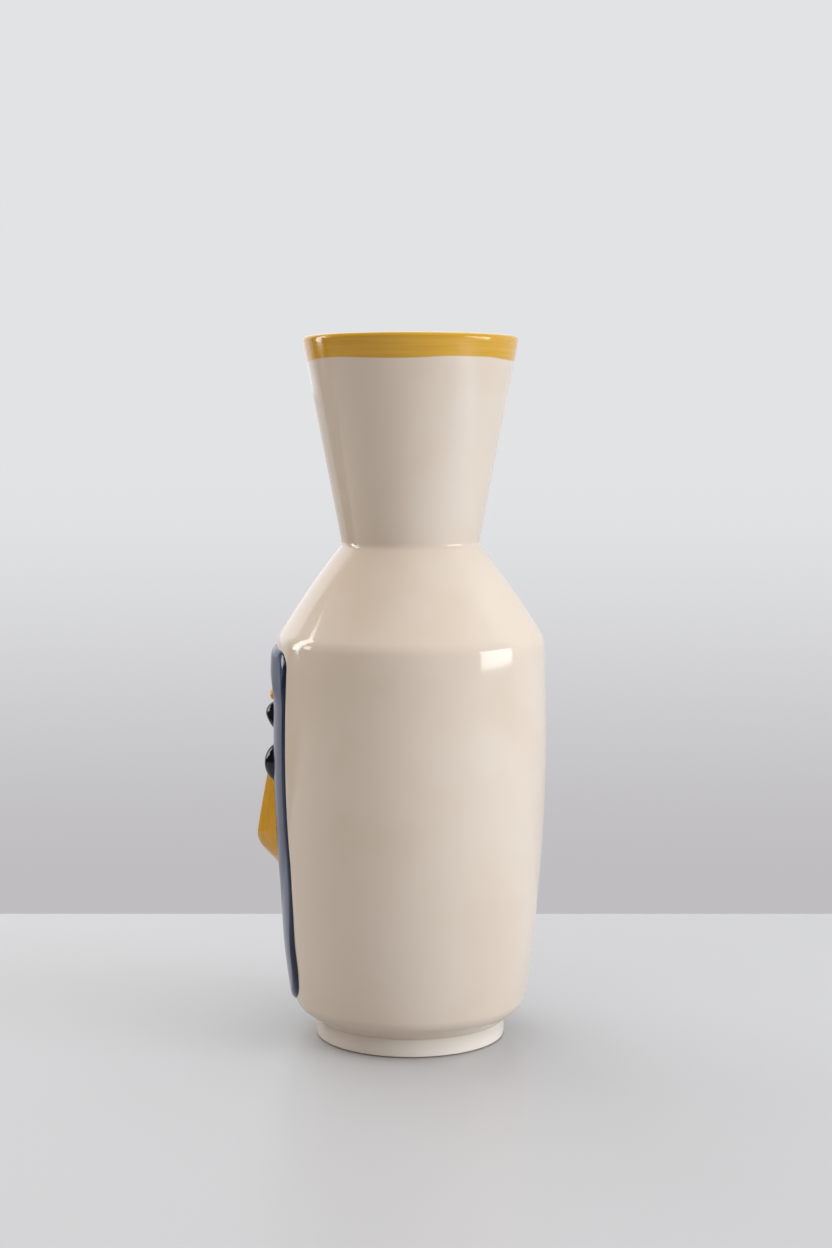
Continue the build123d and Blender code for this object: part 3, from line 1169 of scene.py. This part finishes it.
@dataclass
class Drop(Pressed):
    """The drop over each eye, turned like a top: full near its upper end, with a tip drawn out below.

    It leans over the eye by the slant, and dips with its tip inwards.
    """

    length: float = 16.8
    radius: float = 5.4
    dip: float = 8.0
    back: float = -1.6
    least_radius: float = 0.01
    length_shares: tuple[float, ...] = (0.03, 0.14, 0.33, 0.62, 0.85)
    radius_shares: tuple[float, ...] = (0.42, 0.83, 1.0, 0.72, 0.33)
    rings_along: int = 60

    def make(self, name: str) -> bpy.types.Object:
        """The drop: circles about its long axis, with the buried half cut flat at the back's depth."""
        top = self.length / 2.0
        flank = [
            (self.radius * width, top - self.length * fall)
            for width, fall in zip(self.radius_shares, self.length_shares)
        ]
        mirrored = [(-across, along) for across, along in (flank[0], flank[-1])]
        outline = curved(np.array([mirrored[0], (0.0, top), *flank, (0.0, -top), mirrored[1]]), 40)
        outline = spaced(outline, self.rings_along + 2)[1:-1]
        angle = np.linspace(0.0, math.tau, self.around, endpoint=False)[None, :]
        dip = math.radians(self.dip)
        radius, along = np.maximum(outline[:, :1], self.least_radius), outline[:, 1:]
        x = radius * np.cos(angle)
        raised = radius * np.sin(angle)
        z = along * math.cos(dip) - raised * math.sin(dip)
        outward = np.maximum(raised * math.cos(dip) + along * math.sin(dip) - self.sink, self.back)
        poles = [
            self.pole(end * math.cos(dip), max(end * math.sin(dip) - self.sink, self.back))
            for end in (top, -top)
        ]
        edge = {"edge": np.maximum(outward, 0.0)}
        return Mould(self.stood(x, z, outward), *poles, attributes=edge).cast(name)


@dataclass
class Lips(Relief):
    """The mouth: an upper lip with a bow and a fuller lower lip, parted by a narrow line."""

    mouth: float = 53.0
    gap: float = 0.5
    upper_half_width: float = 11.6
    upper_height: float = 3.9
    upper_proud: float = 2.0
    lower_half_width: float = 10.2
    lower_height: float = 5.7
    lower_proud: float = 2.5
    bow_place: float = 4.6
    bow_reach: float = 0.9
    corner_fade: float = 0.7
    bedding: float = 0.1
    least_height: float = 0.05
    across: int = 81
    up: int = 25

    def lip(
        self, name: str, half_width: float, crest: np.ndarray, proud: float, way: int
    ) -> bpy.types.Object:
        """One lip as columns from the mouth's line to its crest line.

        Args:
            name: the piece's name.
            half_width: half of the lip's width.
            crest: height of the lip at each column, measured away from the mouth's line.
            proud: how far it stands out at its fullest.
            way: 1 for the lip above the mouth and -1 for the one below.

        Returns:
            The piece, whose rise is a half ellipse from the mouth's line out to the crest line.
        """
        x = np.linspace(-half_width, half_width, self.across)[:, None]
        share = eased(self.up)[None, :]
        z = self.mouth + way * (self.gap / 2.0 + crest[:, None] * share)
        full = np.sqrt(np.maximum(1.0 - (x / half_width) ** 2, 0.0)) ** self.corner_fade
        round_over = np.sqrt(np.maximum(1.0 - (2.0 * share - 1.0) ** 2, 0.0))
        rise = proud * full * round_over - self.bedding
        return self.slab(name, np.broadcast_to(x, z.shape), z, rise, np.maximum(rise, 0.0))

    def upper(self) -> bpy.types.Object:
        """The upper lip: its crest line is two lobes, each fullest at the bow's place."""
        x = np.linspace(-1.0, 1.0, self.across)
        bow = self.bow_place / self.upper_half_width
        lobe = np.abs(x) - bow
        reach = np.where(lobe > 0.0, 1.0 - bow, self.bow_reach)
        crest = self.upper_height * np.sqrt(np.maximum(1.0 - (lobe / reach) ** 2, 0.0))
        crest = crest + self.least_height
        return self.lip("yellow_upper_lip", self.upper_half_width, crest, self.upper_proud, 1)

    def lower(self) -> bpy.types.Object:
        """The lower lip: its crest line is half an ellipse."""
        x = np.linspace(-1.0, 1.0, self.across)
        crest = self.lower_height * np.sqrt(np.maximum(1.0 - x**2, 0.0)) + self.least_height
        return self.lip("yellow_lower_lip", self.lower_half_width, crest, self.lower_proud, -1)


class Job(Enum):
    """What a lamp is there for: to light vase and table, or only to be mirrored in the glaze."""

    LIGHT = "light"
    GLINT = "glint"


@dataclass(frozen=True)
class Softbox:
    """A diffusing panel lamp that faces the vase.

    Its direction is given as the photographer would: degrees round to the right of the camera as
    seen from the vase, and degrees above the table. It may be turned in its own plane.
    """

    name: str
    round_to_right: float
    above: float
    distance: float
    width: float
    height: float
    power: float
    job: Job
    colour: str = "ffffff"
    turned: float = 0.0


@dataclass
class Studio:
    """Plain table, pale surroundings, soft lamps and the camera, set up round the glazed pieces."""

    focus: float
    glazed: bpy.types.Collection
    picture_height: int = 1248
    focal_pixels: float = 2059.7
    sensor: float = 36.0
    face_turn: float = 106.0
    camera_distance: float = 0.9082
    camera_aside: float = 0.00244
    camera_height: float = 0.2654
    camera_pitch: float = 5.13
    clip: tuple[float, float] = (0.01, 50.0)
    table_behind: float = 0.2287
    table_reach: float = 1.6
    table_thickness: float = 0.03
    table_colour: str = "bcbcbd"
    table_roughness: float = 0.32
    table_index: float = 1.35
    wall_top: str = "e2e3e5"
    wall_bottom: str = "bfbdc0"
    wall_bottom_rise: float = -0.215
    wall_top_rise: float = -0.01
    room: str = "55504c"
    backdrop_middle: float = 163.0
    backdrop_half: float = 67.0
    backdrop_soft: float = 2.5
    horizon: str = "4c3c2b"
    zenith: str = "efeff0"
    horizon_rise: float = 0.15
    ambient: float = 1.58
    lamps: tuple[Softbox, ...] = (
        Softbox("window_glint", 76.0, 6.9, 0.85, 0.5, 0.214, 2.3, Job.GLINT),
        Softbox("strip_glint", -109.0, 17.0, 0.95, 0.17, 0.58, 2.0, Job.GLINT, turned=-12.0),
        Softbox("low_glint", -97.0, 13.0, 0.95, 0.13, 0.16, 0.4, Job.GLINT),
        Softbox("pale_glint", -148.0, 26.0, 1.15, 0.75, 1.0, 1.25, Job.GLINT, "e6f0ff", turned=-12.0),
        Softbox("key", 68.0, 4.0, 1.15, 0.6, 0.5, 8.8, Job.LIGHT, "e8f3ff"),
        Softbox("key_high", 60.0, 45.0, 1.15, 0.6, 0.6, 1.0, Job.LIGHT, "f3f6ff"),
        Softbox("overhead", -25.0, 75.0, 1.15, 0.7, 0.7, 1.6, Job.LIGHT, "fff6ec"),
        Softbox("left", -112.0, 18.0, 1.15, 0.5, 0.8, 2.8, Job.LIGHT, "fffcf6"),
        Softbox("behind_left", -150.0, 30.0, 1.15, 0.8, 0.8, 4.8, Job.LIGHT, "f0f7ff"),
    )

    def direction(self, round_to_right: float, above: float) -> np.ndarray:
        """Unit vector from the vase, by degrees to the camera's right and degrees above the table."""
        turn = math.radians(self.face_turn + round_to_right)
        rise = math.radians(above)
        level = math.cos(rise)
        return np.array([math.sin(turn) * level, -math.cos(turn) * level, math.sin(rise)])

    def camera(self) -> bpy.types.Object:
        """The camera, level sideways and pitched down a little, a little to one side of the axis."""
        towards, right = self.direction(0.0, 0.0), self.direction(90.0, 0.0)
        data = bpy.data.cameras.new("camera")
        data.sensor_width = self.sensor
        data.lens = self.sensor * self.focal_pixels / self.picture_height
        data.clip_start, data.clip_end = self.clip
        holder = linked("camera", data)
        place = towards * self.camera_distance + right * self.camera_aside
        holder.location = (place[0], place[1], self.camera_height)
        tilt = math.radians(90.0 - self.camera_pitch)
        holder.rotation_euler = (tilt, 0.0, math.radians(self.face_turn))
        bpy.context.scene.camera = holder
        return holder

    def light(self, lamp: Softbox) -> bpy.types.Object:
        """One lamp, turned to face the middle of the vase."""
        data = bpy.data.lights.new(lamp.name, "AREA")
        data.shape = "RECTANGLE"
        data.size, data.size_y = lamp.width, lamp.height
        data.energy = lamp.power
        data.color = linear(lamp.colour)[:3]
        away = self.direction(lamp.round_to_right, lamp.above)
        holder = linked(lamp.name, data)
        holder.location = away * lamp.distance + np.array([0.0, 0.0, self.focus])
        spin = Quaternion((0.0, 0.0, 1.0), math.radians(lamp.turned))
        holder.rotation_euler = (Vector(away).to_track_quat("Z", "Y") @ spin).to_euler()
        holder.visible_glossy = lamp.job is Job.GLINT
        holder.visible_diffuse = lamp.job is Job.LIGHT
        if lamp.job is Job.GLINT:
            holder.light_linking.receiver_collection = self.glazed
        return holder

    def table(self) -> bpy.types.Object:
        """The table top: a slab whose far edge lies behind the vase, square to the camera's view."""
        towards, right = self.direction(0.0, 0.0), self.direction(90.0, 0.0)
        behind, reach = self.table_behind, self.table_reach
        corners = [
            towards * along + right * aside + np.array([0.0, 0.0, depth])
            for depth in (0.0, -self.table_thickness)
            for along, aside in ((-behind, -reach), (-behind, reach), (reach, reach), (reach, -reach))
        ]
        faces = [(0, 3, 2, 1), (4, 5, 6, 7), (0, 1, 5, 4), (1, 2, 6, 5), (2, 3, 7, 6), (3, 0, 4, 7)]
        mesh = bpy.data.meshes.new("table_top")
        mesh.from_pydata([tuple(corner) for corner in corners], [], faces)
        slab = linked("table_top", mesh)
        mesh.materials.append(self.table_finish())
        return slab

    def table_finish(self) -> bpy.types.Material:
        """Plain pale stone-like laminate with a soft sheen."""
        material, tree, _ = new_tree("table_finish")
        finished(tree, {
            "Base Color": linear(self.table_colour),
            "Roughness": self.table_roughness,
            "IOR": self.table_index,
        })
        return material

    def surroundings(self) -> None:
        """Pale backdrop with a soft vertical gradient, and plain ambient light.

        The camera sees the pale gradient all round. Mirrored in the glaze, it stands behind the vase,
        and the rest of the room is dim, so that dark glazes stay dark.
        """
        world = bpy.data.worlds.new("surroundings")
        bpy.context.scene.world = world
        world.use_nodes = True
        tree = world.node_tree
        tree.nodes.clear()
        direction = add(tree, "ShaderNodeTexCoord").outputs["Generated"]
        upward = height_of(tree, direction)
        climb = ranged(tree, upward, self.wall_bottom_rise, self.wall_top_rise)
        pale = mixed(tree, climb, linear(self.wall_bottom), linear(self.wall_top))
        backed = self.backed(tree, direction)
        mirrored = mixed(tree, backed, linear(self.room), pale)
        rays = add(tree, "ShaderNodeLightPath").outputs
        seen = mixed(tree, rays["Is Camera Ray"], mirrored, pale)
        looked = rays["Is Camera Ray"]
        for kind in ("Is Glossy Ray", "Is Transmission Ray"):
            looked = combined(tree, looked, rays[kind], "MAXIMUM")
        backdrop = add(tree, "ShaderNodeBackground", {"Color": seen, "Strength": 1.0})
        overhead = ranged(tree, upward, self.horizon_rise, 1.0)
        ambient = mixed(tree, overhead, linear(self.horizon), linear(self.zenith))
        soft = add(tree, "ShaderNodeBackground", {"Color": ambient, "Strength": self.ambient})
        shown = add(tree, "ShaderNodeMixShader", {0: looked, 1: soft.outputs[0], 2: backdrop.outputs[0]})
        add(tree, "ShaderNodeOutputWorld", {"Surface": shown.outputs[0]})

    def backed(self, tree: bpy.types.NodeTree, direction) -> bpy.types.NodeSocket:
        """1 for a direction that meets the backdrop and 0 for others, by the cosine from its middle."""
        level = {0: levelled(tree, direction)}
        compass = add(tree, "ShaderNodeVectorMath", level, operation="NORMALIZE").outputs[0]
        middle = {0: compass, 1: tuple(self.direction(self.backdrop_middle, 0.0))}
        facing = add(tree, "ShaderNodeVectorMath", middle, operation="DOT_PRODUCT").outputs["Value"]
        soft = self.backdrop_soft
        edges = (math.cos(math.radians(self.backdrop_half + way)) for way in (soft, -soft))
        return ranged(tree, facing, *edges)

    def build(self) -> None:
        """Sets up the whole studio."""
        self.camera()
        self.table()
        self.surroundings()
        for lamp in self.lamps:
            self.light(lamp)
            LOG.info("lamp %s", lamp.name)
        bpy.context.scene.view_settings.view_transform = "Standard"


def make_vessel(vessel: Vessel) -> list[bpy.types.Object]:
    """Makes the three thrown pieces in their cream glazes, and returns them."""
    cream = CreamGlaze()
    return [
        placed(vessel.body(), Slot.BODY, cream.material(), "body_shell"),
        placed(vessel.neck(), Slot.NECK, RimGlaze(cream, vessel.height).material(), "neck_collar"),
        placed(vessel.foot(), Slot.FOOT, FootGlaze(cream).material(), "foot_ring"),
    ]


def make_face(vessel: Vessel) -> list[bpy.types.Object]:
    """Makes the relief of the face in its coloured glazes, and returns its pieces."""
    # Each glaze's darker edge colour is pooling glaze together with painted shade along the relief's
    # borders and where it meets the wall.
    blue = BrushedGlaze(
        name="blue_glaze", colour="2a4066", streak="1c2d4c", pooled_and_shaded="0f1b35", stroke_mm=(1.2, 1.2, 22.0)
    ).material()
    yellow = BrushedGlaze(
        name="yellow_glaze", colour="d9a231", streak="ce972b", pooled_and_shaded="a0721c",
        stroke_mm=(0.9, 0.9, 14.0), pooling_and_shade_mm=0.8, pooling_and_shade_share=0.6,
    ).material()
    black = BlackGlaze().material()
    mask, lips = Mask(vessel), Lips(vessel)
    pieces = [
        placed(mask.surround(), Slot.BLUE, blue, "face_surround"),
        placed(mask.forehead(), Slot.BLUE, blue, "forehead_band"),
        placed(Nose(vessel).make(), Slot.YELLOW, yellow, "nose"),
        placed(lips.upper(), Slot.YELLOW, yellow, "upper_lip"),
        placed(lips.lower(), Slot.YELLOW, yellow, "lower_lip"),
    ]
    for side, label in ((Side.LEFT, "left"), (Side.RIGHT, "right")):
        eye = Bead(
            vessel, place=12.4, height=121.4, half_width=6.0, half_height=9.4, proud=5.3, sink=2.4,
            side=side,
        )
        lid = Drop(vessel, place=11.0, height=141.3, sink=0.7, slant=-44.0, side=side)
        brow = Bead(
            vessel, place=10.9, height=152.9, half_width=8.4, half_height=3.4, proud=2.6, sink=0.9,
            slant=4.0, fullness=3.0, side=side,
        )
        pieces.append(placed(eye.make("black_eye_" + label), Slot.BLACK, black, "eye_" + label))
        pieces.append(placed(lid.make("black_lid_" + label), Slot.BLACK, black, "lid_" + label))
        pieces.append(placed(brow.make("yellow_brow_" + label), Slot.YELLOW, yellow, "brow_" + label))
    return pieces


def main() -> None:
    """Builds the vase and the studio."""
    logging.basicConfig(level=logging.INFO, format="%(message)s")
    vessel = Vessel.from_frame()
    glazed = bpy.data.collections.new("glazed_pieces")
    for piece in make_vessel(vessel) + make_face(vessel):
        glazed.objects.link(piece)
    Studio(focus=(cad_low[2] + cad_high[2]) / 2.0, glazed=glazed).build()


if __name__ == "__main__":
    main()
